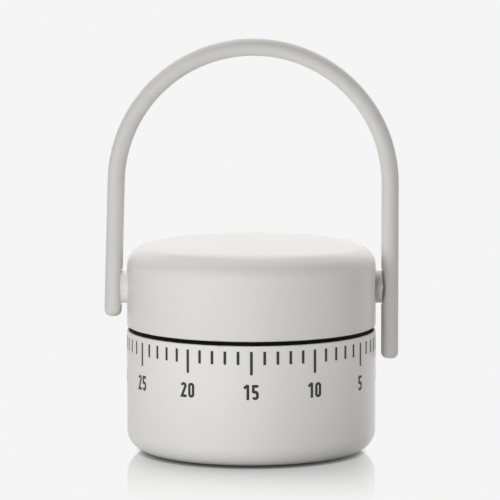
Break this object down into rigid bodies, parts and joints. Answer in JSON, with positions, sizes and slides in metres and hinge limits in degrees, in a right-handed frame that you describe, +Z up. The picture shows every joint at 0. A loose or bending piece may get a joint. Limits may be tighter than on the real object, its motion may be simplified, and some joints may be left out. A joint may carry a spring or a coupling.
{
  "type": "kitchen timer",
  "caption": "Wind-up kitchen timer: round metal drum whose upper half turns on the scaled lower half to set the time, with a swinging rod handle that also points at the scale.",
  "frame": {"origin": "on the table, on the drum's axis, under the foot", "axes": "+Z up along the drum's axis; the front, with the quarter-hour mark, is -Y; the scale's zero and the handle's long pointer leg are at +X"},
  "size_m": [0.0852, 0.072, 0.1199],
  "materials": {
    "shell_paint": "satin",
    "handle_paint": "satin",
    "boss_plastic": "satin",
    "foot_rubber": "matte",
    "carrier_plastic": "matte",
    "plate_steel": "satin",
    "bell_steel": "polished",
    "spring_steel": "satin",
    "arbor_steel": "polished",
    "wheel_brass": "satin",
    "lever_steel": "satin",
    "hammer_brass": "satin"
  },
  "bodies": {
    "base": {"base_cup": "shell_paint", "foot_pad": "foot_rubber", "movement_carrier": "carrier_plastic", "bell": "bell_steel", "bell_nut": "plate_steel", "lower_plate": "plate_steel", "upper_plate": "plate_steel", "plate_pillars": "plate_steel", "mainspring": "spring_steel"},
    "top": {"top_cap": "shell_paint", "drive_disc": "carrier_plastic", "pivot_bosses": "boss_plastic", "main_arbor": "arbor_steel", "release_cam": "lever_steel", "great_wheel": "wheel_brass", "ratchet_wheel": "lever_steel", "arbor_collar": "arbor_steel", "click": "lever_steel", "click_spring": "spring_steel"},
    "handle": {"handle": "handle_paint", "pivot_screws": "plate_steel"},
    "second_arbor": {"second_pinion": "arbor_steel", "second_wheel": "wheel_brass", "strike_star": "lever_steel"},
    "third_arbor": {"third_pinion": "arbor_steel", "third_wheel": "wheel_brass"},
    "escape_arbor": {"escape_pinion": "arbor_steel", "escape_wheel": "wheel_brass"},
    "verge": {"verge_arbor": "arbor_steel", "verge_anchor": "lever_steel", "balance_bar": "wheel_brass"},
    "hammer": {"hammer_lever": "lever_steel", "hammer_head": "hammer_brass"}
  },
  "joints": [
    {"name": "top_turn", "type": "hinge", "parent": "base", "child": "top", "pos_m": [0, 0, 0.0368], "axis": [0, 0, -1], "range_deg": [0, 350], "stiffness_Nm_per_rad": 0.02, "springref_deg": -85.94, "deforming": ["mainspring"]},
    {"name": "handle_swing", "type": "hinge", "parent": "top", "child": "handle", "pos_m": [0, 0, 0.0479], "axis": [1, 0, 0], "range_deg": [-120, 120]},
    {"name": "second_turn", "type": "hinge", "parent": "base", "child": "second_arbor", "pos_m": [0.0168, 0, 0.017], "axis": [0, 0, -1], "continuous": true},
    {"name": "third_turn", "type": "hinge", "parent": "base", "child": "third_arbor", "pos_m": [0.01237, 0.01313, 0.017], "axis": [0, 0, -1], "continuous": true},
    {"name": "escape_turn", "type": "hinge", "parent": "base", "child": "escape_arbor", "pos_m": [0.00479, 0.02213, 0.017], "axis": [0, 0, -1], "continuous": true},
    {"name": "verge_rock", "type": "hinge", "parent": "base", "child": "verge", "pos_m": [-0.00232, 0.02579, 0.0226], "axis": [0, 0, 1], "range_deg": [-3, 3]},
    {"name": "hammer_swing", "type": "hinge", "parent": "base", "child": "hammer", "pos_m": [0.01781, -0.00793, 0.017], "axis": [0, 0, 1], "range_deg": [-2, 4], "stiffness_Nm_per_rad": 0.0005}
  ],
  "couplings": [
    {"joint": "second_turn", "follows": "top_turn", "ratio": -6},
    {"joint": "third_turn", "follows": "top_turn", "ratio": 36},
    {"joint": "escape_turn", "follows": "top_turn", "ratio": -216}
  ]
}
